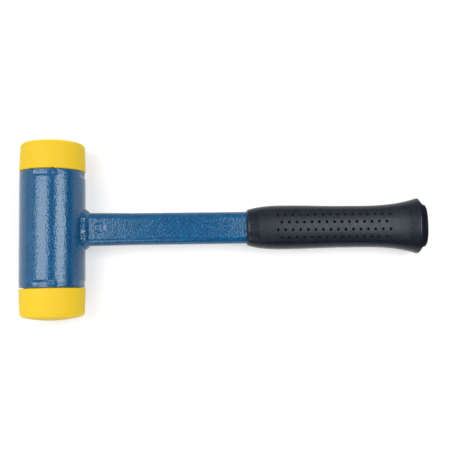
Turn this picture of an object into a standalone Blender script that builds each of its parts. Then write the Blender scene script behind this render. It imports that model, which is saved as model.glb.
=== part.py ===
"""Dead blow hammer lying on its side.

The handle runs along +X, the head's axis along Y, and +Z is up. The origin is under the middle of the
hammer, level with the lowest point of the head. Lengths are in metres.
"""
import math

import bmesh
import bpy

MM = 0.001

# Fits and fineness of the round shapes
CLEARANCE = 0.3 * MM
TURN_STEPS = 48
CORNER_STEPS = 4
FLAT_STEPS = 4
SHARP_ANGLE = math.radians(32)

# Head tube, with crimps pressed in near each end
TUBE_DIAMETER = 50.0 * MM
TUBE_WALL = 3.0 * MM
TUBE_LENGTH = 89.0 * MM
TUBE_EDGE = 0.6 * MM
CRIMP_COUNT = 4
CRIMP_TURN = math.radians(-5.0)
CRIMP_HALF_ANGLE = math.radians(24.0)
CRIMP_FLAT_ANGLE = math.radians(12.0)
CRIMP_FROM_END = 5.7 * MM
CRIMP_WALL = 1.8 * MM
CRIMP_DEPTH = 0.75 * MM
CRIMP_RIM_DEPTH = 0.2 * MM
CRIMP_STEPS = 4

# Striking faces, with a spigot that sits in the tube
FACE_PROUD = 0.3 * MM
FACE_LENGTH = 24.7 * MM
FACE_DRAFT = math.radians(2.0)
FACE_EDGE_RADIUS = 3.6 * MM
FACE_EDGE_STEPS = 5
FACE_CROWN_RADIUS = 95.0 * MM
FACE_CROWN_STEPS = 4
FACE_LAND_DIAMETER = 10.0 * MM
FACE_SEAT_ROUND = 0.6 * MM
SPIGOT_LENGTH = 12.0 * MM
SPIGOT_CHAMFER = 1.0 * MM

# Loose steel shot in the head
SHOT_DIAMETER = 10.0 * MM
SHOT_LAYERS = (2, 3, 4)
SHOT_ROWS = 5
SHOT_TRAVEL_LEAST = 12.0 * MM

# Shank, a tube of flat oval section
HANDLE_WIDTH = 24.8 * MM
HANDLE_ROOT_SPREAD = 0.7 * MM
HANDLE_THICKNESS = 13.0 * MM
HANDLE_CORNER = 5.5 * MM
HANDLE_LEAST_FLAT = 1.0 * MM
HANDLE_WALL = 2.0 * MM
ROOT_EASE_START = 36.0 * MM
ROOT_EASE_END = 66.0 * MM

# Weld bead round the foot of the shank
WELD_LEG = 4.0 * MM
WELD_CROWN = 0.5 * MM

# Grip sleeve: walls over the shank at the side and at the front, with places counted from its front edge
GRIP_START = 150.4 * MM
GRIP_FRONT_SIDE_WALL = 1.2 * MM
GRIP_FRONT_FLAT_WALL = 3.9 * MM
GRIP_FRONT_SIDE_SLOPE = 0.30
GRIP_FRONT_FLAT_SLOPE = 0.12
GRIP_SWELL_AT = 30.0 * MM
GRIP_SWELL_SIDE_WALL = 4.4 * MM
GRIP_SWELL_FLAT_WALL = 5.9 * MM
GRIP_WAIST_AT = 74.0 * MM
GRIP_WAIST_SIDE_WALL = 3.6 * MM
GRIP_WAIST_FLAT_WALL = 5.3 * MM
GRIP_FLARE_AT = 133.2 * MM
GRIP_FLARE_SIDE_WALL = 9.2 * MM
GRIP_FLARE_FLAT_WALL = 8.9 * MM
GRIP_FLARE_SLOPE = 0.34
GRIP_CONE_LENGTH = 3.5 * MM
GRIP_END_SIDE_WALL = 4.4 * MM
GRIP_END_FLAT_WALL = 5.9 * MM
GRIP_LEAST_WALL = 1.0 * MM
GRIP_EDGE = 0.8 * MM
GRIP_STEPS = 16
GRIP_SQUARENESS = 2.4

# Plug in the butt
PLUG_STEP = 0.3 * MM
PLUG_FLANGE = 2.5 * MM
PLUG_DRAFT = 0.4 * MM
PLUG_EDGE = 1.2 * MM
PLUG_STEM = 18.0 * MM
HANDLE_END_INSET = 2.0 * MM

# Sizes that follow from those above
TUBE_RADIUS = TUBE_DIAMETER / 2
BORE_RADIUS = TUBE_RADIUS - TUBE_WALL
TUBE_END = TUBE_LENGTH / 2
CRIMP_START = TUBE_END - CRIMP_FROM_END
FACE_RADIUS = TUBE_RADIUS + FACE_PROUD
FACE_TOP = TUBE_END + FACE_LENGTH
SPIGOT_END = TUBE_END - SPIGOT_LENGTH
SEAT_RADIUS = TUBE_RADIUS + CLEARANCE
GRIP_END = GRIP_START + GRIP_FLARE_AT + GRIP_CONE_LENGTH
HANDLE_END = GRIP_END - HANDLE_END_INSET
BUTT_END = GRIP_END + CLEARANCE + PLUG_FLANGE
HEAD_CENTRE = ((FACE_RADIUS - BUTT_END) / 2, 0, FACE_RADIUS)


def linear(*srgb):
    """Linear colour of an sRGB triple from 0 to 255."""
    parts = [value / 255 for value in srgb]
    return [p / 12.92 if p <= 0.04045 else ((p + 0.055) / 1.055) ** 2.4 for p in parts] + [1.0]


def material(name, srgb, roughness, metallic=0.0):
    """Principled material of one colour."""
    made = bpy.data.materials.new(name)
    made.use_nodes = True
    shader = made.node_tree.nodes["Principled BSDF"]
    shader.inputs["Base Color"].default_value = linear(*srgb)
    shader.inputs["Roughness"].default_value = roughness
    shader.inputs["Metallic"].default_value = metallic
    made.diffuse_color = linear(*srgb)
    return made


def empty(name, parent=None):
    """Empty that carries other pieces."""
    carrier = bpy.data.objects.new(name, None)
    bpy.context.collection.objects.link(carrier)
    carrier.parent = parent
    return carrier


def finished_mesh(name, bm, finish):
    """Mesh with outward faces, smooth but for its sharp edges."""
    bmesh.ops.recalc_face_normals(bm, faces=bm.faces)
    mesh = bpy.data.meshes.new(name)
    bm.to_mesh(mesh)
    bm.free()
    mesh.shade_smooth()
    mesh.set_sharp_from_angle(angle=SHARP_ANGLE)
    mesh.materials.append(finish)
    return mesh


def piece(name, mesh, parent):
    """Named object on its carrier."""
    made = bpy.data.objects.new(name, mesh)
    bpy.context.collection.objects.link(made)
    made.parent = parent
    return made


def turned(profile, ring):
    """Solid turned about Y from (radius, place along Y) points. A ring's profile closes on itself."""
    bm = bmesh.new()
    verts = [bm.verts.new((radius, along, 0)) for radius, along in profile]
    ends = list(zip(verts, verts[1:]))
    if ring:
        ends.append((verts[-1], verts[0]))
    edges = [bm.edges.new(pair) for pair in ends]
    bmesh.ops.spin(bm, geom=verts + edges, axis=(0, 1, 0), cent=(0, 0, 0), angle=2 * math.pi,
                   steps=TURN_STEPS, use_merge=True)
    bmesh.ops.remove_doubles(bm, verts=bm.verts, dist=0.001 * MM)
    on_axis = [vert for vert in bm.verts if math.hypot(vert.co.x, vert.co.z) < 0.001 * MM]
    bmesh.ops.dissolve_verts(bm, verts=on_axis)
    return bm


def lofted(rings, hollow):
    """Skin over rings of equally many points. A hollow one closes on itself, a full one gets two caps."""
    bm = bmesh.new()
    loops = [[bm.verts.new(point) for point in ring] for ring in rings]
    spans = list(zip(loops, loops[1:]))
    if hollow:
        spans.append((loops[-1], loops[0]))
    else:
        bm.faces.new(loops[0])
        bm.faces.new(loops[-1])
    for near, far in spans:
        for here in range(len(near)):
            after = (here + 1) % len(near)
            bm.faces.new((near[here], near[after], far[after], far[here]))
    return bm


def outline(width, thickness, corner):
    """Points round a rectangle with round corners, in the Y-Z plane."""
    arcs = []
    for quarter, (side_y, side_z) in enumerate(((1, 1), (-1, 1), (-1, -1), (1, -1))):
        centre_y = side_y * (width / 2 - corner)
        centre_z = side_z * (thickness / 2 - corner)
        turns = [(quarter + step / CORNER_STEPS) * math.pi / 2 for step in range(CORNER_STEPS + 1)]
        arcs.append([(centre_y + corner * math.cos(turn), centre_z + corner * math.sin(turn))
                     for turn in turns])
    points = []
    for arc, following in zip(arcs, arcs[1:] + arcs[:1]):
        points += arc
        (y0, z0), (y1, z1) = arc[-1], following[0]
        for step in range(1, FLAT_STEPS):
            share = step / FLAT_STEPS
            points.append((y0 + share * (y1 - y0), z0 + share * (z1 - z0)))
    return points


def shank_outline(spread=0.0, out=0.0):
    """Section of the shank, widened by spread at the root and offset outwards by out."""
    corner = min(HANDLE_CORNER, (HANDLE_THICKNESS - HANDLE_LEAST_FLAT) / 2)
    return outline(HANDLE_WIDTH + spread + 2 * out, HANDLE_THICKNESS + 2 * out, corner + out)


def on_tube(points, radius):
    """Points carried along X on to a cylinder about the head's axis."""
    return [(math.sqrt(radius ** 2 - z ** 2), y, z) for y, z in points]


def across(points, x):
    """Points set in the plane at x."""
    return [(x, y, z) for y, z in points]


def eased(place, knots):
    """Smooth curve through knots of (place, value, slope)."""
    for (start, value, slope), (end, next_value, next_slope) in zip(knots, knots[1:]):
        if place <= end:
            break
    span = end - start
    t = (place - start) / span
    rise = t * t * (3 - 2 * t)
    lead = span * (slope * t * (1 - t) ** 2 - next_slope * t * t * (1 - t))
    return value + (next_value - value) * rise + lead


def smooth_step(share):
    """Smooth rise from 0 to 1."""
    share = min(max(share, 0), 1)
    return share * share * (3 - 2 * share)


def crimp(along, turn):
    """Depth of the crimps at a place along the head and a turn from +Z towards +X."""
    past = abs(along) - CRIMP_START
    wall = smooth_step(past / CRIMP_WALL)
    back = smooth_step((past - CRIMP_WALL) / (CRIMP_FROM_END - CRIMP_WALL))
    spacing = 2 * math.pi / CRIMP_COUNT
    aside = abs((turn - CRIMP_TURN + spacing / 2) % spacing - spacing / 2)
    span = smooth_step((CRIMP_HALF_ANGLE - aside) / (CRIMP_HALF_ANGLE - CRIMP_FLAT_ANGLE))
    return (CRIMP_DEPTH + (CRIMP_RIM_DEPTH - CRIMP_DEPTH) * back) * wall * span


def crimp_places():
    """Places along the head where the crimps' profile needs a point, from inside outwards."""
    wall = [CRIMP_START + CRIMP_WALL * step / CRIMP_STEPS for step in range(CRIMP_STEPS)]
    back = TUBE_END - TUBE_EDGE - CRIMP_START - CRIMP_WALL
    return wall + [CRIMP_START + CRIMP_WALL + back * step / CRIMP_STEPS for step in range(CRIMP_STEPS + 1)]


def head_tube_mesh(finish):
    """Steel tube whose ends are crimped on to the spigots of the faces."""
    places = [-along for along in reversed(crimp_places())] + crimp_places()
    profile = [(BORE_RADIUS, -TUBE_END), (TUBE_RADIUS - TUBE_EDGE, -TUBE_END)]
    profile += [(TUBE_RADIUS, along) for along in places]
    profile += [(TUBE_RADIUS - TUBE_EDGE, TUBE_END), (BORE_RADIUS, TUBE_END)]
    profile += [(BORE_RADIUS, along) for along in reversed(places)]
    bm = turned(profile, ring=True)
    for vert in bm.verts:
        radius = math.hypot(vert.co.x, vert.co.z)
        pressed = 1 - crimp(vert.co.y, math.atan2(vert.co.x, vert.co.z)) / radius
        vert.co.x *= pressed
        vert.co.z *= pressed
    return finished_mesh("head_tube", bm, finish)


def face_mesh(finish):
    """Striking face for the +Y end: grooved spigot, skirt with draft, rounded edge and crown."""
    spigot = BORE_RADIUS - CLEARANCE
    seat = TUBE_END + CLEARANCE
    profile = [(0, SPIGOT_END), (spigot - SPIGOT_CHAMFER, SPIGOT_END), (spigot, SPIGOT_END + SPIGOT_CHAMFER)]
    profile += [(spigot - crimp(along, CRIMP_TURN), along) for along in crimp_places() + [seat]]
    profile += [(FACE_RADIUS - FACE_SEAT_ROUND, seat), (FACE_RADIUS, seat + FACE_SEAT_ROUND)]
    land = FACE_LAND_DIAMETER / 2
    crown_centre = FACE_TOP - math.sqrt(FACE_CROWN_RADIUS ** 2 - land ** 2)
    rim = FACE_RADIUS - math.tan(FACE_DRAFT) * FACE_LENGTH
    reach = rim - FACE_EDGE_RADIUS
    rim_height = crown_centre + math.sqrt((FACE_CROWN_RADIUS - FACE_EDGE_RADIUS) ** 2 - reach ** 2)
    lean = math.asin(reach / (FACE_CROWN_RADIUS - FACE_EDGE_RADIUS))
    for step in range(FACE_EDGE_STEPS + 1):
        turn = step / FACE_EDGE_STEPS * (math.pi / 2 - lean)
        profile.append((reach + FACE_EDGE_RADIUS * math.cos(turn),
                        rim_height + FACE_EDGE_RADIUS * math.sin(turn)))
    first = FACE_CROWN_RADIUS * math.sin(lean)
    for step in range(1, FACE_CROWN_STEPS + 1):
        radius = first + (land - first) * step / FACE_CROWN_STEPS
        profile.append((radius, crown_centre + math.sqrt(FACE_CROWN_RADIUS ** 2 - radius ** 2)))
    profile.append((0, FACE_TOP))
    return finished_mesh("striking_face", turned(profile, ring=False), finish)


def handle_tube_mesh(finish):
    """Shank: coped to the head tube at its foot, a little wider at the root, open at the butt."""
    wide = shank_outline(spread=HANDLE_ROOT_SPREAD)
    plain = shank_outline()
    wide_bore = shank_outline(spread=HANDLE_ROOT_SPREAD, out=-HANDLE_WALL)
    plain_bore = shank_outline(out=-HANDLE_WALL)
    rings = [on_tube(wide, SEAT_RADIUS), across(wide, ROOT_EASE_START), across(plain, ROOT_EASE_END),
             across(plain, HANDLE_END), across(plain_bore, HANDLE_END), across(plain_bore, ROOT_EASE_END),
             across(wide_bore, ROOT_EASE_START), on_tube(wide_bore, SEAT_RADIUS)]
    return finished_mesh("handle_tube", lofted(rings, hollow=True), finish)


def handle_weld_mesh(finish):
    """Fillet weld round the foot of the shank, a little crowned."""
    root = on_tube(shank_outline(HANDLE_ROOT_SPREAD, CLEARANCE), SEAT_RADIUS)
    tube_toe = on_tube(shank_outline(HANDLE_ROOT_SPREAD, CLEARANCE + WELD_LEG), SEAT_RADIUS)
    handle_toe = [(x + WELD_LEG, y, z) for x, y, z in root]
    middle = shank_outline(HANDLE_ROOT_SPREAD, CLEARANCE + WELD_LEG / 2 + WELD_CROWN)
    crown = [((near[0] + far[0]) / 2 + WELD_CROWN, y, z)
             for near, far, (y, z) in zip(handle_toe, tube_toe, middle)]
    return finished_mesh("handle_weld", lofted([root, handle_toe, crown, tube_toe], hollow=True), finish)


def grip_ring(x, side_wall, flat_wall, trim=0.0):
    """Oval section of the sleeve at x, nowhere thinner than its least wall."""
    half_width = HANDLE_WIDTH / 2 + CLEARANCE + side_wall
    half_depth = HANDLE_THICKNESS / 2 + CLEARANCE + flat_wall
    ring = []
    for y, z in shank_outline(out=CLEARANCE):
        bore = math.hypot(y, z)
        across_y = (abs(y / bore) / half_width) ** GRIP_SQUARENESS
        across_z = (abs(z / bore) / half_depth) ** GRIP_SQUARENESS
        oval = (across_y + across_z) ** (-1 / GRIP_SQUARENESS)
        radius = max(oval, bore + GRIP_LEAST_WALL) - trim
        ring.append((x, y / bore * radius, z / bore * radius))
    return ring


def grip_sleeve_mesh(finish):
    """Sleeve: swell, waist and flare, then a cone back to the butt."""
    side = ((0, GRIP_FRONT_SIDE_WALL, GRIP_FRONT_SIDE_SLOPE), (GRIP_SWELL_AT, GRIP_SWELL_SIDE_WALL, 0),
            (GRIP_WAIST_AT, GRIP_WAIST_SIDE_WALL, 0), (GRIP_FLARE_AT, GRIP_FLARE_SIDE_WALL, GRIP_FLARE_SLOPE))
    flat = ((0, GRIP_FRONT_FLAT_WALL, GRIP_FRONT_FLAT_SLOPE), (GRIP_SWELL_AT, GRIP_SWELL_FLAT_WALL, 0),
            (GRIP_WAIST_AT, GRIP_WAIST_FLAT_WALL, 0), (GRIP_FLARE_AT, GRIP_FLARE_FLAT_WALL, GRIP_FLARE_SLOPE))
    edge = min(GRIP_EDGE, GRIP_FRONT_SIDE_WALL / 2, GRIP_FRONT_FLAT_WALL / 2, GRIP_LEAST_WALL / 2)
    rings = [grip_ring(GRIP_START, GRIP_FRONT_SIDE_WALL, GRIP_FRONT_FLAT_WALL, trim=edge)]
    for step in range(GRIP_STEPS + 1):
        place = edge + (GRIP_FLARE_AT - edge) * step / GRIP_STEPS
        rings.append(grip_ring(GRIP_START + place, eased(place, side), eased(place, flat)))
    rings.append(grip_ring(GRIP_END, GRIP_END_SIDE_WALL, GRIP_END_FLAT_WALL))
    bore = shank_outline(out=CLEARANCE)
    rings += [across(bore, GRIP_END), across(bore, GRIP_START)]
    return finished_mesh("grip_sleeve", lofted(rings, hollow=True), finish)


def grip_end_plug_mesh(finish):
    """Plug: a tapered flange over the sleeve's end and a stem in the shank's bore."""
    side_wall = GRIP_END_SIDE_WALL - PLUG_STEP
    flat_wall = GRIP_END_FLAT_WALL - PLUG_STEP
    seat = GRIP_END + CLEARANCE
    stem = shank_outline(out=-HANDLE_WALL - CLEARANCE)
    rings = [grip_ring(BUTT_END, side_wall, flat_wall, trim=PLUG_DRAFT + PLUG_EDGE),
             grip_ring(BUTT_END - PLUG_EDGE, side_wall, flat_wall, trim=PLUG_DRAFT),
             grip_ring(seat, side_wall, flat_wall),
             across(stem, seat), across(stem, HANDLE_END - PLUG_STEM)]
    return finished_mesh("grip_end_plug", lofted(rings, hollow=False), finish)


def shot_mesh(finish):
    """One steel ball."""
    bm = bmesh.new()
    bmesh.ops.create_icosphere(bm, subdivisions=2, radius=SHOT_DIAMETER / 2)
    return finished_mesh("shot_ball", bm, finish)


def shot_places():
    """Centres of the balls, heaped in the bottom of the bore in rows along the head."""
    pitch = SHOT_DIAMETER + CLEARANCE
    wall = BORE_RADIUS - SHOT_DIAMETER / 2 - CLEARANCE
    rows = min(SHOT_ROWS, int((2 * SPIGOT_END - SHOT_TRAVEL_LEAST) / pitch))
    height = -math.sqrt(wall ** 2 - (pitch * (SHOT_LAYERS[0] - 1) / 2) ** 2)
    places = []
    for wanted in SHOT_LAYERS:
        count = wanted
        while count > 0 and math.hypot(pitch * (count - 1) / 2, height) > wall + CLEARANCE / 2:
            count -= 2
        for row in range(rows):
            along = pitch * (row - (rows - 1) / 2)
            places += [(pitch * (ball - (count - 1) / 2), along, height) for ball in range(count)]
        height += pitch * math.sqrt(3) / 2
    return places


def build():
    """Clear the scene and make every piece."""
    for old in list(bpy.data.objects):
        bpy.data.objects.remove(old, do_unlink=True)
    blue = material("blue_paint", (50, 98, 138), 0.35)
    yellow = material("yellow_polyurethane", (250, 208, 58), 0.55)
    black = material("black_grip", (52, 55, 61), 0.7)
    plug = material("black_plug", (26, 30, 35), 0.5)
    steel = material("steel_shot", (150, 150, 152), 0.3, metallic=1.0)
    hammer = empty("hammer")
    hammer.location = HEAD_CENTRE
    piece("head_tube", head_tube_mesh(blue), hammer)
    face = face_mesh(yellow)
    piece("striking_face_a", face, hammer)
    piece("striking_face_b", face, hammer).rotation_euler.z = math.pi
    piece("handle_tube", handle_tube_mesh(blue), hammer)
    piece("handle_weld", handle_weld_mesh(blue), hammer)
    piece("grip_sleeve", grip_sleeve_mesh(black), hammer)
    piece("grip_end_plug", grip_end_plug_mesh(plug), hammer)
    charge = empty("shot_charge", hammer)
    ball = shot_mesh(steel)
    for number, place in enumerate(shot_places(), start=1):
        piece(f"shot_ball_{number:02d}", ball, charge).location = place


build()
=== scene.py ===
"""Looks of a dead blow hammer that lies on its side: finished pieces, materials, floor, light and camera.

Lengths are in metres. The handle runs along +X, the head along Y, and +Z is up.
"""
import math

import bmesh
import bpy
from mathutils import Matrix, Vector


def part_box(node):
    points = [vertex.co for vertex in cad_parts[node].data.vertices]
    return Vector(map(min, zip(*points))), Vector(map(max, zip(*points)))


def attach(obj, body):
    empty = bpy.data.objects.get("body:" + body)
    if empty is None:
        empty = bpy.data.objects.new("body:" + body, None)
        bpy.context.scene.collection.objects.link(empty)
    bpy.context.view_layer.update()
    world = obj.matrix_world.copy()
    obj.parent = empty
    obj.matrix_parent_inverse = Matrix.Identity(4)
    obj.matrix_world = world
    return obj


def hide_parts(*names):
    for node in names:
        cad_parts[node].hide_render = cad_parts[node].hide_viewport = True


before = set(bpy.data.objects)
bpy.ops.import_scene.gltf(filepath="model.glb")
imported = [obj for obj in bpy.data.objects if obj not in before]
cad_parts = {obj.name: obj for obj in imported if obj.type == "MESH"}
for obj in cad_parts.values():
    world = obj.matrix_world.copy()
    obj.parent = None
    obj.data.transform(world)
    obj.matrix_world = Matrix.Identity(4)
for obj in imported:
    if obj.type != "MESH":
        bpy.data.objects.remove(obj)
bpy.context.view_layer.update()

MM = 0.001

# Places and sizes taken from the frame
TUBE_LOW, TUBE_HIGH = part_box("head_tube")
FACE_LOW, FACE_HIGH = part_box("striking_face_a")
SHANK_LOW, SHANK_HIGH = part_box("handle_tube")
GRIP_LOW, GRIP_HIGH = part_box("grip_sleeve")
PLUG_LOW, PLUG_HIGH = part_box("grip_end_plug")
HEAD_CENTRE = (TUBE_LOW + TUBE_HIGH) / 2
PAINT_COAT = 0.25 * MM
PLUG_GROWTH = 0.3 * MM
TUBE_RADIUS = (TUBE_HIGH.x - TUBE_LOW.x) / 2 + PAINT_COAT
TUBE_END = TUBE_HIGH.y
FACE_RADIUS = (FACE_HIGH.x - FACE_LOW.x) / 2
FACE_TOP = FACE_HIGH.y
SPIGOT_END = FACE_LOW.y
SHANK_ROOT_WIDTH = SHANK_HIGH.y - SHANK_LOW.y
SHANK_THICKNESS = SHANK_HIGH.z - SHANK_LOW.z
SHANK_END = SHANK_HIGH.x - HEAD_CENTRE.x
GRIP_START = GRIP_LOW.x - HEAD_CENTRE.x
GRIP_END = GRIP_HIGH.x - HEAD_CENTRE.x
FLARE_HALF_WIDTH = GRIP_HIGH.y
FLARE_HALF_DEPTH = (GRIP_HIGH.z - GRIP_LOW.z) / 2
BUTT_END = PLUG_HIGH.x - HEAD_CENTRE.x
PLUG_HALF_WIDTH = PLUG_HIGH.y + PLUG_GROWTH
PLUG_HALF_DEPTH = (PLUG_HIGH.z - PLUG_LOW.z) / 2 + PLUG_GROWTH
PLUG_STEM_END = PLUG_LOW.x - HEAD_CENTRE.x

# Fineness of the finished surfaces
TURN_STEPS = 192
OVAL_STEPS = 120
SHARP_ANGLE = math.radians(40)
MERGE_DISTANCE = 0.001 * MM
TINY = 1e-9

# Head tube
TUBE_WALL = 3.0 * MM + PAINT_COAT
TUBE_EDGE = 0.6 * MM
TUBE_EDGE_STEPS = 5
TUBE_PLAIN_STEPS = 4
CRIMP_ZONE = 9.0 * MM
CRIMP_ZONE_STEPS = 34
CRIMP_COUNT = 4
CRIMP_TURN = math.radians(-5)
CRIMP_HALF_ANGLE = math.radians(24)
CRIMP_FLAT_ANGLE = math.radians(12)
CRIMP_FROM_END = 5.7 * MM
CRIMP_WALL = 1.8 * MM
CRIMP_DEPTH = 0.75 * MM
CRIMP_RIM_DEPTH = 0.2 * MM
RIM_DROP = 0.1 * MM
RIM_DROP_LENGTH = 4.0 * MM

# Striking faces
FACE_SEAT_GAP = 0.4 * MM
FACE_SEAT_ROUND = 0.5 * MM
FACE_SEAT_STEPS = 4
FACE_RIM_RADIUS = 24.68 * MM
FACE_EDGE_RADIUS = 3.6 * MM
FACE_EDGE_STEPS = 14
FACE_CROWN_RADIUS = 95.0 * MM
FACE_CROWN_STEPS = 12
SPIGOT_GAP = 0.3 * MM
SPIGOT_CHAMFER = 1.0 * MM
SPIGOT_STEPS = 16
VENT_RADIUS = 0.6 * MM
VENT_DEPTH = 5.0 * MM
VENT_ANGLE = math.radians(9.8)
VENT_STEPS = 24
UPPER_FACE_TILT = math.radians(-0.4)
LOWER_FACE_TILT = math.radians(0.5)

# Shank, with places counted from the head's middle
SHANK_WIDTH = 24.8 * MM
SHANK_CORNER = 5.5 * MM
SHANK_CORNER_STEPS = 10
SHANK_FLAT_STEPS = 24
SHANK_WALL = 2.0 * MM
SHANK_FOOT_GAP = 0.1 * MM
SHANK_FINE_START = 30.0 * MM
SHANK_FINE_STEP = 0.5 * MM
SHANK_FINE_STEPS = 34
SHANK_PLAIN_START = 48.0 * MM
SHANK_PLAIN_STEPS = 30
ROOT_EASE_START = 36.0 * MM
ROOT_EASE_END = 66.0 * MM
PUNCH_AT = 37.4 * MM
PUNCH_ACROSS = 0.9 * MM
PUNCH_RADIUS = 4.1 * MM
PUNCH_DEPTH = 0.4 * MM
PUNCH_SLOPE = 1.1 * MM
FLAT_TOLERANCE = 0.01 * MM

# Weld bead, with waves given as (height, pace, shift)
WELD_GAP = 0.05 * MM
WELD_STEPS = 24
WELD_CORNER_STEPS = 22
WELD_FLAT_STEPS = 40
WELD_SIDE_LEG = 3.8 * MM
WELD_FRONT_LEG = 4.4 * MM
WELD_LEG_WAVES = ((0.05, 0.43, 0.0), (0.04, 0.77, 2.0))
WELD_TUBE_SHARE = 0.89
WELD_SIDE_CROWN = 0.1 * MM
WELD_FRONT_CROWN = 1.2 * MM
WELD_SKEW = 1.25
WELD_SIDE_RELIEF = 0.3
WELD_RIPPLE = 0.1 * MM
WELD_RIPPLE_PITCH = 5.5 * MM
WELD_RIPPLE_WAVES = ((0.6, 1.0, 0.0), (0.4, 0.61, 2.0))
WELD_STREAK = 0.12 * MM
WELD_STREAK_COUNT = 2.6
WELD_DRIFT_WAVES = ((0.45, 0.83, 0.0), (0.45, 0.31, 1.0))

# Grip sleeve, with places counted from its front edge and walls counted from the shank
GRIP_GAP = 0.3 * MM
GRIP_SQUARENESS = 2.4
GRIP_LEAST_WALL = 1.0 * MM
GRIP_BLEND = 0.6 * MM
GRIP_FRONT_LIP = 0.4 * MM
GRIP_FRONT_EDGE = 1.6 * MM
GRIP_EDGE_SHARE = 0.85
GRIP_EDGE_STEPS = 5
GRIP_BODY_STEPS = 130
GRIP_FRONT_WALLS = (1.2 * MM, 3.9 * MM)
GRIP_FRONT_SLOPES = (0.30, 0.12)
GRIP_SWELL_AT = 30.0 * MM
GRIP_SWELL_WALLS = (4.4 * MM, 5.9 * MM)
GRIP_WAIST_AT = 74.0 * MM
GRIP_WAIST_WALLS = (3.6 * MM, 5.3 * MM)
GRIP_FLARE_AT = 133.2 * MM
GRIP_FLARE_SLOPE = 0.34
GRIP_END_WALLS = (4.4 * MM, 5.9 * MM)
GRIP_END_STEPS = 4
GRIP_TIP_ROUND = 0.9 * MM
GRIP_TIP_STEPS = 8
GRIP_MATT_AT = GRIP_FLARE_AT + GRIP_TIP_ROUND / 4
HOLE_RADIUS = 1.2 * MM
HOLE_DEPTH = 3.7 * MM
PIT_RADIUS = 1.0 * MM
PIT_DEPTH = 1.8 * MM
DIMPLE_TIP = 0.35 * MM
DIMPLE_ABOVE = 0.25
DIMPLE_STEPS = 20
DIMPLE_PITCH = 5.8 * MM
DIMPLE_FIRST = 23.1 * MM
HOLE_ROWS = ((2.93 * MM, 1, 15), (-2.93 * MM, 0, 16))
PIT_ROWS = ((8.75 * MM, 0, 16), (-8.75 * MM, 1, 15))

# Panels and dent of the grip, with places counted from the head's middle
PANEL_START = 159.6 * MM
PANEL_END = 275.0 * MM
PANEL_HALF_WIDTH = 11.4 * MM
PANEL_EDGE = 0.5 * MM
PANEL_DEPTH = 0.12 * MM
DENT_AT = (157.3 * MM, 7.5 * MM)
DENT_RADIUS = 3.2 * MM
DENT_DEPTH = 0.35 * MM

# Butt plug
PLUG_DRAFT = 0.4 * MM
PLUG_EDGE = 1.7 * MM
PLUG_EDGE_STEPS = 6

# Mesh tools


def turned(profile, ring):
    """Solid turned about Y from (radius, place along Y) points. A ring's profile closes on itself."""
    bm = bmesh.new()
    verts = [bm.verts.new((radius, along, 0)) for radius, along in profile]
    ends = list(zip(verts, verts[1:]))
    if ring:
        ends.append((verts[-1], verts[0]))
    edges = [bm.edges.new(pair) for pair in ends]
    bmesh.ops.spin(bm, geom=verts + edges, axis=(0, 1, 0), cent=(0, 0, 0), angle=2 * math.pi,
                   steps=TURN_STEPS, use_merge=True)
    bmesh.ops.remove_doubles(bm, verts=bm.verts, dist=MERGE_DISTANCE)
    return bm


def lofted(rings, hollow):
    """Skin over rings of equally many points. A hollow one closes on itself, a full one gets two caps."""
    bm = bmesh.new()
    loops = [[bm.verts.new(point) for point in ring] for ring in rings]
    spans = list(zip(loops, loops[1:]))
    if hollow:
        spans.append((loops[-1], loops[0]))
    else:
        bm.faces.new(loops[0])
        bm.faces.new(loops[-1])
    for near, far in spans:
        for here in range(len(near)):
            after = (here + 1) % len(near)
            bm.faces.new((near[here], near[after], far[after], far[here]))
    return bm


def finished_piece(name, bm, material):
    """Object at the head's centre with outward faces, smooth but for its sharp edges."""
    bmesh.ops.recalc_face_normals(bm, faces=bm.faces)
    mesh = bpy.data.meshes.new(name)
    bm.to_mesh(mesh)
    bm.free()
    mesh.shade_smooth()
    mesh.set_sharp_from_angle(angle=SHARP_ANGLE)
    mesh.materials.append(material)
    piece = bpy.data.objects.new(name, mesh)
    bpy.context.scene.collection.objects.link(piece)
    piece.location = HEAD_CENTRE
    return piece


def cut(piece, cutter_bm):
    """Cut the shapes in cutter_bm out of a piece, both about the head's centre."""
    cutter = finished_piece("cutter", cutter_bm, piece.data.materials[0])
    boolean = piece.modifiers.new("cut", "BOOLEAN")
    boolean.operation = "DIFFERENCE"
    boolean.object = cutter
    bpy.context.view_layer.update()
    solid = bpy.data.meshes.new_from_object(piece.evaluated_get(bpy.context.evaluated_depsgraph_get()))
    piece.modifiers.clear()
    piece.data = solid
    solid.shade_smooth()
    solid.set_sharp_from_angle(angle=SHARP_ANGLE)
    bpy.data.objects.remove(cutter)


def dress(piece, node):
    """The piece stands for a node of the frame and rides on the hammer's body."""
    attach(piece, "hammer")
    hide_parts(node)


def arc(centre_radius, centre_along, radius, start, end, steps):
    """Profile points on an arc, from angle start to end, counted from the outward direction."""
    turns = [start + (end - start) * step / steps for step in range(steps + 1)]
    return [(centre_radius + radius * math.cos(turn), centre_along + radius * math.sin(turn))
            for turn in turns]


def smooth_step(share):
    """Smooth rise from 0 to 1."""
    share = min(max(share, 0), 1)
    return share * share * (3 - 2 * share)


def eased(place, knots):
    """Smooth curve through knots of (place, value, slope)."""
    for (start, value, slope), (end, next_value, next_slope) in zip(knots, knots[1:]):
        if place <= end:
            break
    span = end - start
    t = (place - start) / span
    lead = span * (slope * t * (1 - t) ** 2 - next_slope * t * t * (1 - t))
    return value + (next_value - value) * t * t * (3 - 2 * t) + lead


def waves(parts, phase):
    """Sum of sine waves of (height, pace, shift)."""
    return sum(height * math.sin(pace * phase + shift) for height, pace, shift in parts)


# Head


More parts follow.
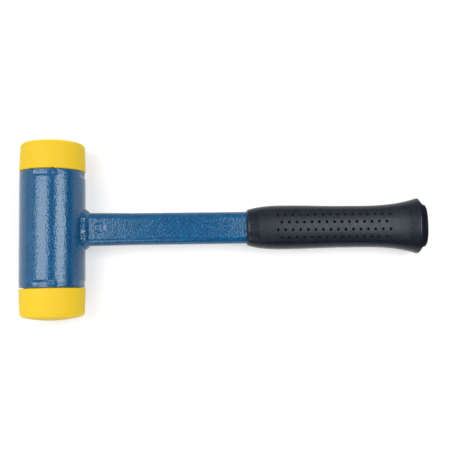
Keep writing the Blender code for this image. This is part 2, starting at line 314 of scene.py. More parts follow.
def crimp(along, turn):
    """How deep the tube is pressed in by its crimps, at a place along it and a turn from +Z towards +X."""
    past = abs(along) - (TUBE_END - CRIMP_FROM_END)
    wall = smooth_step(past / CRIMP_WALL)
    back = smooth_step((past - CRIMP_WALL) / (CRIMP_FROM_END - CRIMP_WALL))
    spacing = 2 * math.pi / CRIMP_COUNT
    aside = abs((turn - CRIMP_TURN + spacing / 2) % spacing - spacing / 2)
    span = smooth_step((CRIMP_HALF_ANGLE - aside) / (CRIMP_HALF_ANGLE - CRIMP_FLAT_ANGLE))
    return (CRIMP_DEPTH + (CRIMP_RIM_DEPTH - CRIMP_DEPTH) * back) * wall * span


def head_tube_piece(material):
    """Steel tube with softened rims and crimps that hold the faces."""
    edge = TUBE_END - TUBE_EDGE
    fine_start = TUBE_END - CRIMP_ZONE
    fine = [fine_start + (edge - fine_start) * step / CRIMP_ZONE_STEPS
            for step in range(CRIMP_ZONE_STEPS + 1)]
    plain = [fine_start * step / TUBE_PLAIN_STEPS for step in range(1 - TUBE_PLAIN_STEPS, TUBE_PLAIN_STEPS)]
    places = [-along for along in reversed(fine)] + plain + fine
    outside = [(TUBE_RADIUS - RIM_DROP * smooth_step((abs(along) - edge) / RIM_DROP_LENGTH + 1), along)
               for along in places]
    rim = outside[-1][0] - TUBE_EDGE
    bore = TUBE_RADIUS - TUBE_WALL
    profile = arc(rim, -edge, TUBE_EDGE, -math.pi / 2, 0, TUBE_EDGE_STEPS)[:-1] + outside
    profile += arc(rim, edge, TUBE_EDGE, 0, math.pi / 2, TUBE_EDGE_STEPS)[1:]
    profile += [(bore, TUBE_END)] + [(bore, along) for along in reversed(places)] + [(bore, -TUBE_END)]
    bm = turned(profile, ring=True)
    for vert in bm.verts:
        radius = math.hypot(vert.co.x, vert.co.z)
        pressed = 1 - crimp(vert.co.y, math.atan2(vert.co.x, vert.co.z)) / radius
        vert.co.x *= pressed
        vert.co.z *= pressed
    return finished_piece("head_tube_finish", bm, material)


def face_profile():
    """Profile of a striking face from the middle of its spigot to the middle of its crown."""
    spigot = TUBE_RADIUS - TUBE_WALL - SPIGOT_GAP
    seat = TUBE_END + FACE_SEAT_GAP
    profile = [(0, SPIGOT_END), (spigot - SPIGOT_CHAMFER, SPIGOT_END)]
    profile.append((spigot, SPIGOT_END + SPIGOT_CHAMFER))
    start = SPIGOT_END + 2 * SPIGOT_CHAMFER
    steps = [start + (seat - start) * step / SPIGOT_STEPS for step in range(SPIGOT_STEPS)]
    profile += [(spigot - crimp(along, CRIMP_TURN), along) for along in steps] + [(spigot, seat)]
    foot = FACE_RADIUS - FACE_SEAT_ROUND
    profile += arc(foot, seat + FACE_SEAT_ROUND, FACE_SEAT_ROUND, -math.pi / 2, 0, FACE_SEAT_STEPS)
    crown_centre = FACE_TOP - FACE_CROWN_RADIUS
    reach = FACE_RIM_RADIUS - FACE_EDGE_RADIUS
    inner = FACE_CROWN_RADIUS - FACE_EDGE_RADIUS
    lean = math.asin(reach / inner)
    edge = crown_centre + inner * math.cos(lean)
    profile += arc(reach, edge, FACE_EDGE_RADIUS, 0, math.pi / 2 - lean, FACE_EDGE_STEPS)
    crown = [lean * (1 - step / FACE_CROWN_STEPS) for step in range(1, FACE_CROWN_STEPS)]
    profile += [(FACE_CROWN_RADIUS * math.sin(turn), crown_centre + FACE_CROWN_RADIUS * math.cos(turn))
                for turn in crown]
    return profile + [(0, FACE_TOP)]


def striking_face_piece(name, material, turn, tilt):
    """Moulded face with a small vent hole in its seat, turned about X and seated with a slight tilt."""
    face = finished_piece(name, turned(face_profile(), ring=False), material)
    vent = bmesh.new()
    mouth = Matrix.Translation((0, TUBE_END + FACE_SEAT_GAP, FACE_RADIUS))
    bmesh.ops.create_cone(vent, cap_ends=True, segments=VENT_STEPS, radius1=VENT_RADIUS,
                          radius2=VENT_RADIUS, depth=2 * VENT_DEPTH,
                          matrix=Matrix.Rotation(VENT_ANGLE, 4, "Y") @ mouth)
    cut(face, vent)
    pivot = Vector((FACE_RADIUS, TUBE_END * math.cos(turn), 0))
    face.location = HEAD_CENTRE + pivot - Matrix.Rotation(tilt, 3, "Z") @ pivot
    face.rotation_euler = (turn, 0, tilt)
    return face


# Shank and weld


def outline(width, thickness, corner, corner_steps, flat_steps):
    """Points round a rectangle with round corners, in the Y-Z plane."""
    arcs = []
    for quarter, (side_y, side_z) in enumerate(((1, 1), (-1, 1), (-1, -1), (1, -1))):
        centre = (side_y * (width / 2 - corner), side_z * (thickness / 2 - corner))
        arcs.append(arc(*centre, corner, quarter * math.pi / 2, (quarter + 1) * math.pi / 2, corner_steps))
    points = []
    for bend, following in zip(arcs, arcs[1:] + arcs[:1]):
        points += bend
        (y0, z0), (y1, z1) = bend[-1], following[0]
        shares = [step / flat_steps for step in range(1, flat_steps)]
        points += [(y0 + share * (y1 - y0), z0 + share * (z1 - z0)) for share in shares]
    return points


def tube_reach(z, gap=0.0):
    """How far the head tube reaches along X at a height, a gap further out."""
    return math.sqrt((TUBE_RADIUS + gap) ** 2 - z ** 2)


def on_tube(points):
    """Points carried along X on to the head tube, a small gap off it."""
    return [(tube_reach(z, SHANK_FOOT_GAP), y, z) for y, z in points]


def punched(x, y, z):
    """Height of the shank's flat where a plain round mark is pressed in."""
    if z < SHANK_THICKNESS / 2 - FLAT_TOLERANCE:
        return z
    inside = PUNCH_RADIUS - math.hypot(x - PUNCH_AT, y - PUNCH_ACROSS)
    return z - PUNCH_DEPTH * smooth_step(inside / PUNCH_SLOPE)


def shank_section(width, wall=0.0):
    """Section of the shank, a wall further in."""
    return outline(width - 2 * wall, SHANK_THICKNESS - 2 * wall, SHANK_CORNER - wall,
                   SHANK_CORNER_STEPS, SHANK_FLAT_STEPS)


def shank_piece(material):
    """Flattened steel tube, wider at the root, with a plain round mark pressed in its flat."""
    spread = ((ROOT_EASE_START, SHANK_ROOT_WIDTH, 0), (ROOT_EASE_END, SHANK_WIDTH, 0))
    fine = [SHANK_FINE_START + SHANK_FINE_STEP * step for step in range(SHANK_FINE_STEPS)]
    length = GRIP_START - SHANK_PLAIN_START
    plain = [SHANK_PLAIN_START + length * step / SHANK_PLAIN_STEPS for step in range(SHANK_PLAIN_STEPS + 1)]
    rings = []
    for x in fine + plain + [SHANK_END]:
        width = eased(min(max(x, ROOT_EASE_START), ROOT_EASE_END), spread)
        rings.append([(x, y, punched(x, y, z)) for y, z in shank_section(width)])
    foot = on_tube(shank_section(SHANK_ROOT_WIDTH))
    inner = shank_section(SHANK_WIDTH, SHANK_WALL)
    bore = [[(SHANK_END, y, z) for y, z in inner], on_tube(inner)]
    return finished_piece("handle_tube_finish", lofted([foot] + rings + bore, hollow=True), material)


def weld_section(out):
    """Section of the shank's root, a distance further out."""
    return outline(SHANK_ROOT_WIDTH + 2 * out, SHANK_THICKNESS + 2 * out, SHANK_CORNER + out,
                   WELD_CORNER_STEPS, WELD_FLAT_STEPS)


def weld_piece(material):
    """Rippled and streaked bead round the foot of the shank, full on the flats and lean at the sides."""
    root = weld_section(WELD_GAP)
    travel = 0.0
    sections = []
    for index, (y, z) in enumerate(root):
        travel += math.dist(root[index], root[index - 1]) if index else 0.0
        phase = 2 * math.pi * travel / WELD_RIPPLE_PITCH
        flat = smooth_step((SHANK_ROOT_WIDTH / 2 - abs(y)) / SHANK_CORNER)
        leg = WELD_SIDE_LEG + (WELD_FRONT_LEG - WELD_SIDE_LEG) * flat
        leg *= 1 + waves(WELD_LEG_WAVES, phase)
        toe_y, toe_z = weld_section(WELD_GAP + leg * WELD_TUBE_SHARE)[index]
        foot_x = tube_reach(z)
        handle_toe = Vector((foot_x + leg, y, z))
        tube_toe = Vector((tube_reach(toe_z), toe_y, toe_z))
        out = Vector((0, toe_y - y, toe_z - z)).normalized()
        chord = tube_toe - handle_toe
        normal = (Vector((1, 0, 0)) * chord.dot(out) - out * chord.x).normalized()
        crown = WELD_SIDE_CROWN + (WELD_FRONT_CROWN - WELD_SIDE_CROWN) * flat
        relief = WELD_SIDE_RELIEF + (1 - WELD_SIDE_RELIEF) * flat
        ripple = WELD_RIPPLE * waves(WELD_RIPPLE_WAVES, phase)
        drift = waves(WELD_DRIFT_WAVES, phase)
        section = []
        for step in range(WELD_STEPS + 1):
            share = step / WELD_STEPS
            hump = 4 * share * (1 - share)
            skew = math.sin(math.pi * share ** WELD_SKEW)
            streak = WELD_STREAK * math.sin(2 * math.pi * (WELD_STREAK_COUNT * share + drift))
            rise = crown * skew + (ripple + streak) * hump * relief
            section.append(handle_toe + chord * share + normal * rise)
        section.append(Vector((foot_x + WELD_GAP, y, z)))
        sections.append(section)
    rings = [list(ring) for ring in zip(*sections)]
    return finished_piece("handle_weld_finish", lofted(rings, hollow=True), material)


# Grip and plug


def section_reach(dy, dz, half_width, half_depth, corner):
    """Distance from the middle of a rectangle with round corners to its edge, along (dy, dz)."""
    dy, dz = max(abs(dy), TINY), max(abs(dz), TINY)
    reach = min(half_width / dy, half_depth / dz)
    centre_y, centre_z = half_width - corner, half_depth - corner
    if reach * dy > centre_y and reach * dz > centre_z:
        along = dy * centre_y + dz * centre_z
        reach = along + math.sqrt(along ** 2 - centre_y ** 2 - centre_z ** 2 + corner ** 2)
    return reach


def shank_reach(dy, dz, gap):
    """Distance from the shank's axis to its surface, a gap further out."""
    return section_reach(dy, dz, SHANK_WIDTH / 2 + gap, SHANK_THICKNESS / 2 + gap, SHANK_CORNER + gap)


def oval_directions(half_width, half_depth):
    """Directions across the axis to the points of an oval."""
    turns = [2 * math.pi * step / OVAL_STEPS for step in range(OVAL_STEPS)]
    return [Vector((half_width * math.cos(turn), half_depth * math.sin(turn))).normalized()
            for turn in turns]


def oval_ring(x, half_width, half_depth, trim=0.0):
    """Oval section about the shank, with a smooth least wall over the shank's corners."""
    ring = []
    for direction in oval_directions(half_width, half_depth):
        across_y = (abs(direction.x) / half_width) ** GRIP_SQUARENESS
        across_z = (abs(direction.y) / half_depth) ** GRIP_SQUARENESS
        oval = (across_y + across_z) ** (-1 / GRIP_SQUARENESS)
        least = shank_reach(*direction, GRIP_GAP) + GRIP_LEAST_WALL
        near = max(GRIP_BLEND - abs(oval - least), 0) / GRIP_BLEND
        full = max(oval, least) + near * near * GRIP_BLEND / 4
        wall = full - shank_reach(*direction, GRIP_GAP)
        reach = full - min(trim, GRIP_EDGE_SHARE * wall)
        ring.append((x, direction.x * reach, direction.y * reach))
    return ring


def bore_ring(x, half_width, half_depth, gap):
    """Section of the shank with a gap, in the same directions as the oval's points."""
    ring = []
    for direction in oval_directions(half_width, half_depth):
        reach = shank_reach(*direction, gap)
        ring.append((x, direction.x * reach, direction.y * reach))
    return ring


def over_shank(walls):
    """Half width and half depth of the grip with walls at the side and at the flat."""
    return SHANK_WIDTH / 2 + GRIP_GAP + walls[0], SHANK_THICKNESS / 2 + GRIP_GAP + walls[1]


def grip_halves(place):
    """Half width and half depth of the grip at a place between its front edge and its flare."""
    front, swell = over_shank(GRIP_FRONT_WALLS), over_shank(GRIP_SWELL_WALLS)
    waist, flare = over_shank(GRIP_WAIST_WALLS), (FLARE_HALF_WIDTH, FLARE_HALF_DEPTH)
    return [eased(place, ((0, front[side], GRIP_FRONT_SLOPES[side]), (GRIP_SWELL_AT, swell[side], 0),
                          (GRIP_WAIST_AT, waist[side], 0), (GRIP_FLARE_AT, flare[side], GRIP_FLARE_SLOPE)))
            for side in (0, 1)]


def grip_stations():
    """(place, half width, half depth, trim) of the grip's sections from its front edge to its end."""
    stations = []
    for step in range(GRIP_EDGE_STEPS + 1):
        turn = step / GRIP_EDGE_STEPS * math.pi / 2
        place = GRIP_FRONT_EDGE * (1 - math.cos(turn)) - GRIP_FRONT_LIP
        stations.append((place, *grip_halves(place), GRIP_FRONT_EDGE * (1 - math.sin(turn))))
    body_end = GRIP_FLARE_AT - GRIP_TIP_ROUND
    body_start = GRIP_FRONT_EDGE - GRIP_FRONT_LIP
    for step in range(1, GRIP_BODY_STEPS + 1):
        place = body_start + (body_end - body_start) * step / GRIP_BODY_STEPS
        stations.append((place, *grip_halves(place), 0.0))
    before = Vector(stations[-1][:3])
    tip = Vector((GRIP_FLARE_AT, FLARE_HALF_WIDTH, FLARE_HALF_DEPTH))
    end = Vector((GRIP_END - GRIP_START, *over_shank(GRIP_END_WALLS)))
    after = tip + (end - tip).normalized() * GRIP_TIP_ROUND
    for step in range(1, GRIP_TIP_STEPS + 1):
        t = step / GRIP_TIP_STEPS
        point = before * (1 - t) ** 2 + tip * 2 * t * (1 - t) + after * t * t
        stations.append((*point, 0.0))
    for step in range(1, GRIP_END_STEPS + 1):
        point = after.lerp(end, step / GRIP_END_STEPS)
        stations.append((*point, 0.0))
    return stations


def grip_surface(place, across):
    """Height of the grip's flat and its lean across, at a place along and across it."""
    half_width, half_depth = grip_halves(place)
    share = abs(across) / half_width
    height = (1 - share ** GRIP_SQUARENESS) ** (1 / GRIP_SQUARENESS)
    lean = half_depth / half_width * (share / height) ** (GRIP_SQUARENESS - 1)
    return half_depth * height, math.atan(math.copysign(lean, across))


def add_dimples(cutters, rows, radius, depth):
    """Add tapered cutters on both flats, for rows of (place across, half a pitch late or not, count)."""
    above = DIMPLE_ABOVE * depth
    mouth = DIMPLE_TIP + (radius - DIMPLE_TIP) * (depth + above) / depth
    for across, late, count in rows:
        for number in range(count):
            place = DIMPLE_FIRST + DIMPLE_PITCH * (number + late / 2)
            height, lean = grip_surface(place, across)
            for side in (1, -1):
                spot = Matrix.Translation((GRIP_START + place, across, side * height))
                tilted = Matrix.Rotation(-lean * side, 4, "X")
                lifted = Matrix.Translation((0, 0, side * (above - depth) / 2))
                ends = (DIMPLE_TIP, mouth)[::side]
                bmesh.ops.create_cone(cutters, cap_ends=True, segments=DIMPLE_STEPS, radius1=ends[0],
                                      radius2=ends[1], depth=depth + above, matrix=spot @ tilted @ lifted)


def pressed_in(point):
    """Point of the grip with the sunk panels of its flats and a dent near its front edge."""
    x, y, z = point
    along = smooth_step((x - PANEL_START) / (2 * PANEL_EDGE))
    along *= smooth_step((PANEL_END - x) / (2 * PANEL_EDGE))
    depth = PANEL_DEPTH * along * smooth_step((PANEL_HALF_WIDTH - abs(y)) / (2 * PANEL_EDGE))
    if z > 0:
        depth += DENT_DEPTH * smooth_step(1 - math.dist((x, y), DENT_AT) / DENT_RADIUS)
    return x, y, z - math.copysign(depth, z)


def grip_piece(material, end_material):
    """Soft sleeve with a swell, a waist, a flare with a matt end and rows of dimples on both flats."""
    stations = grip_stations()
    rings = [[pressed_in(point) for point in oval_ring(GRIP_START + place, half_width, half_depth, trim)]
             for place, half_width, half_depth, trim in stations]
    for index, place in ((-1, GRIP_END), (0, GRIP_START - GRIP_FRONT_LIP)):
        rings.append(bore_ring(place, *stations[index][1:3], GRIP_GAP))
    grip = finished_piece("grip_sleeve_finish", lofted(rings, hollow=True), material)
    dimples = bmesh.new()
    add_dimples(dimples, HOLE_ROWS, HOLE_RADIUS, HOLE_DEPTH)
    add_dimples(dimples, PIT_ROWS, PIT_RADIUS, PIT_DEPTH)
    cut(grip, dimples)
    grip.data.materials.append(end_material)
    for face in grip.data.polygons:
        if face.center.x > GRIP_START + GRIP_MATT_AT:
            face.material_index = 1
    return grip


def plug_piece(material):
    """Plug with a round-edged flange and a stem in the shank."""
    halves = (PLUG_HALF_WIDTH, PLUG_HALF_DEPTH)
    seat = GRIP_END + GRIP_GAP / 2
    rings = []
    for step in range(PLUG_EDGE_STEPS + 1):
        turn = step / PLUG_EDGE_STEPS * math.pi / 2
        trim = PLUG_DRAFT + PLUG_EDGE * (1 - math.sin(turn))
        rings.append(oval_ring(BUTT_END - PLUG_EDGE * (1 - math.cos(turn)), *halves, trim))
    rings.append(oval_ring(seat, *halves))
    rings += [bore_ring(x, *halves, -SHANK_WALL - GRIP_GAP) for x in (seat, PLUG_STEM_END)]
    return finished_piece("grip_end_plug_finish", lofted(rings, hollow=False), material)


def linear(*srgb):
    """Linear colour of an sRGB triple from 0 to 255, by the standard's own curve."""
    parts = [value / 255 for value in srgb]
    return [p / 12.92 if p <= 0.04045 else ((p + 0.055) / 1.055) ** 2.4 for p in parts] + [1.0]


# Finishes: dark and light tone, range of roughness, grain, height of the grain, and plain shader values
BLUE_ENAMEL = {
    "tones": ((0.001, 0.030, 0.100, 1), (0.006, 0.120, 0.275, 1)),
    "roughness": (0.06, 0.10),
    "grain": {"Cell scale": 950.0, "Cell share": 0.8, "Noise scale": 950.0, "Tone scale": 120.0,
              "Painted shade share": 0.75},
    "bump": 0.125 * MM,
    "plain": {"Specular IOR Level": 0.55, "Specular Tint": (0.84, 0.97, 1.0, 1)}}
YELLOW_POLYURETHANE = {
    "tones": ((0.77, 0.545, 0.009, 1), (0.81, 0.58, 0.013, 1)),
    "roughness": (0.5, 0.6),
    "grain": {"Cell scale": 1500.0, "Cell share": 0.2, "Noise scale": 2500.0, "Tone scale": 60.0,
              "Painted shade share": 0.3},
    "bump": 0.01 * MM,
    "plain": {"Specular IOR Level": 0.3, "Diffuse Roughness": 1.0, "Sheen Weight": 0.7,
              "Sheen Roughness": 0.6, "Sheen Tint": (1.0, 0.72, 0.12, 1)}}
SOFT_GRIP = {
    "tones": ((0.005, 0.007, 0.012, 1), (0.010, 0.013, 0.021, 1)),
    "roughness": (0.24, 0.30),
    "grain": {"Cell scale": 480.0, "Cell share": 0.5, "Noise scale": 820.0, "Tone scale": 250.0,
              "Painted shade share": 0.4},
    "bump": 0.12 * MM,
    "plain": {"Specular IOR Level": 0.32, "Specular Tint": (0.87, 0.93, 1.0, 1)}}
MATT_END = {
    "tones": ((0.007, 0.009, 0.013, 1), (0.011, 0.013, 0.018, 1)),
    "roughness": (0.8, 0.9),
    "grain": {"Cell scale": 900.0, "Cell share": 0.3, "Noise scale": 1500.0, "Tone scale": 200.0,
              "Painted shade share": 0.4},
    "bump": 0.03 * MM,
    "plain": {"Specular IOR Level": 0.02}}
BLACK_PLUG = {
    "tones": ((0.004, 0.005, 0.008, 1), (0.007, 0.009, 0.013, 1)),
    "roughness": (0.35, 0.5),
    "grain": {"Cell scale": 1200.0, "Cell share": 0.2, "Noise scale": 2000.0, "Tone scale": 60.0,
              "Painted shade share": 0.2},
    "bump": 0.01 * MM,
    "plain": {"Specular IOR Level": 0.08}}
BRIGHT_STEEL = {
    "tones": (linear(160, 160, 162), linear(182, 182, 184)),
    "roughness": (0.2, 0.3),
    "grain": {"Cell scale": 900.0, "Cell share": 0.2, "Noise scale": 1500.0, "Tone scale": 200.0,
              "Painted shade share": 0.2},
    "bump": 0.01 * MM,
    "plain": {"Specular IOR Level": 0.5, "Metallic": 1.0}}

# Grain that the finishes share, panels of the grip, and colour and glow of the floor
CELL_SMOOTHNESS = 0.3
BOWL_POWER = 2.0
NOISE_DETAIL = 2.0
TONE_DETAIL = 4.0
TONE_SPREAD = (0.3, 0.7)
PANEL_ROUGHNESS = (0.32, 0.50)
PANEL_RELIEF = (0.25, 1.0)
FLOOR_COLOUR = (0.55, 0.55, 0.55, 1)
FLOOR_GLOW_REACH = (0.3, 1.3)
FLOOR_GLOW = (0.5, 0.85)

# Materials


def add_node(tree, kind, links=(), values=(), **settings):
    """Node with its settings, values by socket name and links by socket name."""
    node = tree.nodes.new(kind)
    for key, value in settings.items():
        setattr(node, key, value)
    for socket, value in dict(values).items():
        node.inputs[socket].default_value = value
    for socket, source in dict(links).items():
        tree.links.new(source, node.inputs[socket])
    return node


def new_group(name, inputs, outputs):
    """Empty shader group with (name, kind) inputs and outputs."""
    group = bpy.data.node_groups.new(name, "ShaderNodeTree")
    for label, kind in inputs:
        group.interface.new_socket(label, in_out="INPUT", socket_type=kind)
    for label, kind in outputs:
        group.interface.new_socket(label, in_out="OUTPUT", socket_type=kind)
    return group, group.nodes.new("NodeGroupInput").outputs, group.nodes.new("NodeGroupOutput").inputs


def grain_group():
    """Grain of a painted or moulded skin: fine cells with noise, and a slow change of tone mixed with
    painted shade, darker where the noise sinks the grain and lighter where it lifts it.
    """
    controls = ("Cell scale", "Cell share", "Noise scale", "Tone scale", "Painted shade share")
    group, given, result = new_group(
        "skin_grain",
        [("Vector", "NodeSocketVector")] + [(control, "NodeSocketFloat") for control in controls],
        [("Height", "NodeSocketFloat"), ("Tone", "NodeSocketFloat")])
    cells = add_node(group, "ShaderNodeTexVoronoi", feature="SMOOTH_F1",
                     values={"Smoothness": CELL_SMOOTHNESS},
                     links={"Vector": given["Vector"], "Scale": given["Cell scale"]})
    noise = add_node(group, "ShaderNodeTexNoise", values={"Detail": NOISE_DETAIL},
                     links={"Vector": given["Vector"], "Scale": given["Noise scale"]})
    bowls = add_node(group, "ShaderNodeMath", operation="POWER", links={0: cells.outputs["Distance"]},
                     values={1: BOWL_POWER})
    height = add_node(group, "ShaderNodeMix", data_type="FLOAT",
                      links={0: given["Cell share"], 2: noise.outputs["Fac"], 3: bowls.outputs[0]})
    tone = add_node(group, "ShaderNodeTexNoise", values={"Detail": TONE_DETAIL},
                    links={"Vector": given["Vector"], "Scale": given["Tone scale"]})
    # Painted shade: part of the tone reuses the noise that also raises the grain, so the colour is lighter
    # on its rises and darker in its hollows. The slow tone changes at random.
    tone_with_painted_shade = add_node(group, "ShaderNodeMix", data_type="FLOAT",
                       links={0: given["Painted shade share"], 2: tone.outputs["Fac"], 3: noise.outputs["Fac"]})
    spread = add_node(group, "ShaderNodeMapRange", links={"Value": tone_with_painted_shade.outputs[0]},
                      values={"From Min": TONE_SPREAD[0], "From Max": TONE_SPREAD[1]})
    group.links.new(height.outputs[0], result["Height"])
    group.links.new(spread.outputs[0], result["Tone"])
    return group


def new_material(name):
    """Principled material and its shader."""
    material = bpy.data.materials.new(name)
    material.use_nodes = True
    return material, material.node_tree, material.node_tree.nodes["Principled BSDF"]


def grained(name, group, tones, roughness, grain, bump, plain):
    """Material whose colour, roughness and bump follow the grain group."""
    material, tree, shader = new_material(name)
    place = add_node(tree, "ShaderNodeTexCoord")
    skin = add_node(tree, "ShaderNodeGroup", node_tree=group, links={"Vector": place.outputs["Object"]},
                    values=grain)
    colour = add_node(tree, "ShaderNodeMix", data_type="RGBA", links={0: skin.outputs["Tone"]},
                      values={6: tones[0], 7: tones[1]})
    rough = add_node(tree, "ShaderNodeMapRange", links={"Value": skin.outputs["Tone"]},
                     values={"To Min": roughness[0], "To Max": roughness[1]})
    relief = add_node(tree, "ShaderNodeBump", links={"Height": skin.outputs["Height"]},
                      values={"Strength": 1.0, "Distance": bump})
    tree.links.new(colour.outputs[2], shader.inputs["Base Color"])
    tree.links.new(rough.outputs[0], shader.inputs["Roughness"])
    tree.links.new(relief.outputs[0], shader.inputs["Normal"])
    for socket, value in plain.items():
        shader.inputs[socket].default_value = value
    return material


def soft_grip(group):
    """Black soft plastic, with a grained panel on each flat and a smoother skin round it."""
    material = grained("black_soft_grip", group, **SOFT_GRIP)
    tree = material.node_tree
    shader, relief = tree.nodes["Principled BSDF"], tree.nodes["Bump"]
    smooth = shader.inputs["Roughness"].links[0].from_socket
    places = tree.nodes["Texture Coordinate"].outputs["Object"]
    place = add_node(tree, "ShaderNodeSeparateXYZ", links={0: places})
    aside = add_node(tree, "ShaderNodeMath", operation="ABSOLUTE", links={0: place.outputs["Y"]})
    panel = None
    for source, edge, inward in ((place.outputs["X"], PANEL_START, PANEL_EDGE),
                                 (place.outputs["X"], PANEL_END, -PANEL_EDGE),
                                 (aside.outputs[0], PANEL_HALF_WIDTH, -PANEL_EDGE)):
        side = add_node(tree, "ShaderNodeMapRange", links={"Value": source},
                        values={"From Min": edge - inward, "From Max": edge + inward})
        panel = side.outputs[0] if panel is None else add_node(
            tree, "ShaderNodeMath", operation="MULTIPLY", links={0: panel, 1: side.outputs[0]}).outputs[0]
    grainy = add_node(tree, "ShaderNodeMapRange", links={"Value": tree.nodes["Group"].outputs["Tone"]},
                      values={"To Min": PANEL_ROUGHNESS[0], "To Max": PANEL_ROUGHNESS[1]})
    rough = add_node(tree, "ShaderNodeMix", data_type="FLOAT",
                     links={0: panel, 2: smooth, 3: grainy.outputs[0]})
    strength = add_node(tree, "ShaderNodeMapRange", links={"Value": panel},
                        values={"To Min": PANEL_RELIEF[0], "To Max": PANEL_RELIEF[1]})
    tree.links.new(rough.outputs[0], shader.inputs["Roughness"])
    tree.links.new(strength.outputs[0], relief.inputs["Strength"])
    return material


def floor_material():
    """White floor that keeps the shadow and reads as white to the camera and in reflections."""
    material, tree, shader = new_material("white_floor")
    shader.inputs["Base Color"].default_value = FLOOR_COLOUR
    shader.inputs["Roughness"].default_value = 1.0
    shader.inputs["Specular IOR Level"].default_value = 0.0
    rays = add_node(tree, "ShaderNodeLightPath")
    seen = rays.outputs["Is Camera Ray"]
    for other in ("Is Glossy Ray", "Is Transmission Ray"):
        seen = add_node(tree, "ShaderNodeMath", operation="MAXIMUM",
                        links={0: seen, 1: rays.outputs[other]}).outputs[0]
    place = add_node(tree, "ShaderNodeTexCoord")
    away = add_node(tree, "ShaderNodeVectorMath", operation="LENGTH", links={0: place.outputs["Object"]})
    level = add_node(tree, "ShaderNodeMapRange", interpolation_type="SMOOTHSTEP",
                     links={"Value": away.outputs["Value"]},
                     values={"From Min": FLOOR_GLOW_REACH[0], "From Max": FLOOR_GLOW_REACH[1],
                             "To Min": FLOOR_GLOW[0], "To Max": FLOOR_GLOW[1]})
    glow = add_node(tree, "ShaderNodeMath", operation="MULTIPLY", links={0: seen, 1: level.outputs[0]})
    shader.inputs["Emission Color"].default_value = (1, 1, 1, 1)
    tree.links.new(glow.outputs[0], shader.inputs["Emission Strength"])
    return material


# Floor, light and camera, with places counted from the head's middle
FLOOR_HALF = 30.0
FLOOR_RISE = 3.0
FLOOR_GRID = 3
ROOM_LEVEL = 0.31
ROOM_LEAN = (-0.20, 0.22, -0.02)
CAMERA_PLACE = (111.17 * MM, -53.92 * MM, 641.27 * MM)
CAMERA_TURN = (math.radians(5.045), math.radians(-1.907), math.radians(-0.839))
CAMERA_LENS = 66.24

# Softboxes: name, centre, sides, radiance and target
SOFTBOXES = (
    ("left_softbox", (-0.55, 0.08, 0.9), (0.90, 0.48), 5.3, (-0.55, 0.08, 0)),
    ("right_softbox", (0.515, 0.055, 0.6), (0.57, 0.33), 6.4, (0.515, 0.055, 0)),
    ("front_softbox", (-0.03, -0.30, 0.27), (0.20, 0.20), 2.5, (-0.03, 0, 0)),
    ("low_softbox", (-0.60, 0.12, 0.25), (0.36, 0.20), 0.75, (0, 0, 0)))


def floor_piece():
    """Floor that touches the head and the flare, which is why it leans a little. Its far rim rises."""
    lean = math.asin((FACE_RADIUS - FLARE_HALF_DEPTH) / (GRIP_START + GRIP_FLARE_AT))
    bm = bmesh.new()
    bmesh.ops.create_grid(bm, x_segments=FLOOR_GRID, y_segments=FLOOR_GRID, size=FLOOR_HALF)
    for vert in bm.verts:
        if max(abs(vert.co.x), abs(vert.co.y)) > FLOOR_HALF / 2:
            vert.co.z = FLOOR_RISE
    turn = Matrix.Translation(HEAD_CENTRE) @ Matrix.Rotation(-lean, 4, "Y")
    bm.transform(turn @ Matrix.Translation((0, 0, -FACE_RADIUS)))
    mesh = bpy.data.meshes.new("floor")
    bm.to_mesh(mesh)
    bm.free()
    mesh.materials.append(floor_material())
    floor = bpy.data.objects.new("floor", mesh)
    bpy.context.scene.collection.objects.link(floor)


def softbox(name, centre, sides, radiance, target):
    """Soft lamp of the given sides that looks from its centre to a target."""
    lamp = bpy.data.lights.new(name, "AREA")
    lamp.shape = "RECTANGLE"
    lamp.size, lamp.size_y = sides
    lamp.energy = radiance * math.pi * lamp.size * lamp.size_y
    box = bpy.data.objects.new(name, lamp)
    box.location = HEAD_CENTRE + Vector(centre)
    box.rotation_euler = (Vector(target) - Vector(centre)).to_track_quat("-Z", "Y").to_euler()
    bpy.context.scene.collection.objects.link(box)


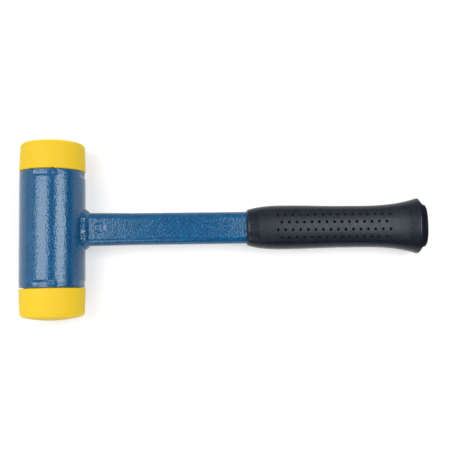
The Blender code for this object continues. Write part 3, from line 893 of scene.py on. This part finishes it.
def surroundings():
    """Dim room, lighter behind the bench and on its left."""
    world = bpy.data.worlds.new("studio")
    world.use_nodes = True
    tree = world.node_tree
    direction = add_node(tree, "ShaderNodeTexCoord")
    lean = add_node(tree, "ShaderNodeVectorMath", operation="DOT_PRODUCT",
                    links={0: direction.outputs["Generated"]}, values={1: ROOM_LEAN})
    level = add_node(tree, "ShaderNodeMath", operation="ADD", links={0: lean.outputs["Value"]},
                     values={1: ROOM_LEVEL})
    tree.links.new(level.outputs[0], tree.nodes["Background"].inputs["Strength"])
    tree.nodes["Background"].inputs["Color"].default_value = (1, 1, 1, 1)
    bpy.context.scene.world = world


def studio():
    """Softboxes, dim surroundings and the camera."""
    for lamp in SOFTBOXES:
        softbox(*lamp)
    surroundings()
    camera = bpy.data.objects.new("camera", bpy.data.cameras.new("camera"))
    camera.data.lens = CAMERA_LENS
    camera.location = HEAD_CENTRE + Vector(CAMERA_PLACE)
    camera.rotation_euler = CAMERA_TURN
    bpy.context.scene.collection.objects.link(camera)
    bpy.context.scene.camera = camera
    bpy.context.scene.view_settings.view_transform = "Standard"


def build():
    """Make the finishes, then every piece that wears them."""
    grain = grain_group()
    enamel = grained("hammered_blue_enamel", grain, **BLUE_ENAMEL)
    yellow = grained("yellow_polyurethane", grain, **YELLOW_POLYURETHANE)
    rubber = soft_grip(grain)
    matt = grained("matt_black_end", grain, **MATT_END)
    plug = grained("black_plug", grain, **BLACK_PLUG)
    steel = grained("bright_steel", grain, **BRIGHT_STEEL)
    dress(head_tube_piece(enamel), "head_tube")
    for end, turn, tilt in (("a", 0, UPPER_FACE_TILT), ("b", math.pi, LOWER_FACE_TILT)):
        face = striking_face_piece(f"striking_face_{end}_finish", yellow, turn, tilt)
        dress(face, f"striking_face_{end}")
    dress(shank_piece(enamel), "handle_tube")
    dress(weld_piece(enamel), "handle_weld")
    dress(grip_piece(rubber, matt), "grip_sleeve")
    dress(plug_piece(plug), "grip_end_plug")
    for name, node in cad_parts.items():
        if name.startswith("shot_ball"):
            node.data.materials.clear()
            node.data.materials.append(steel)


build()
floor_piece()
studio()
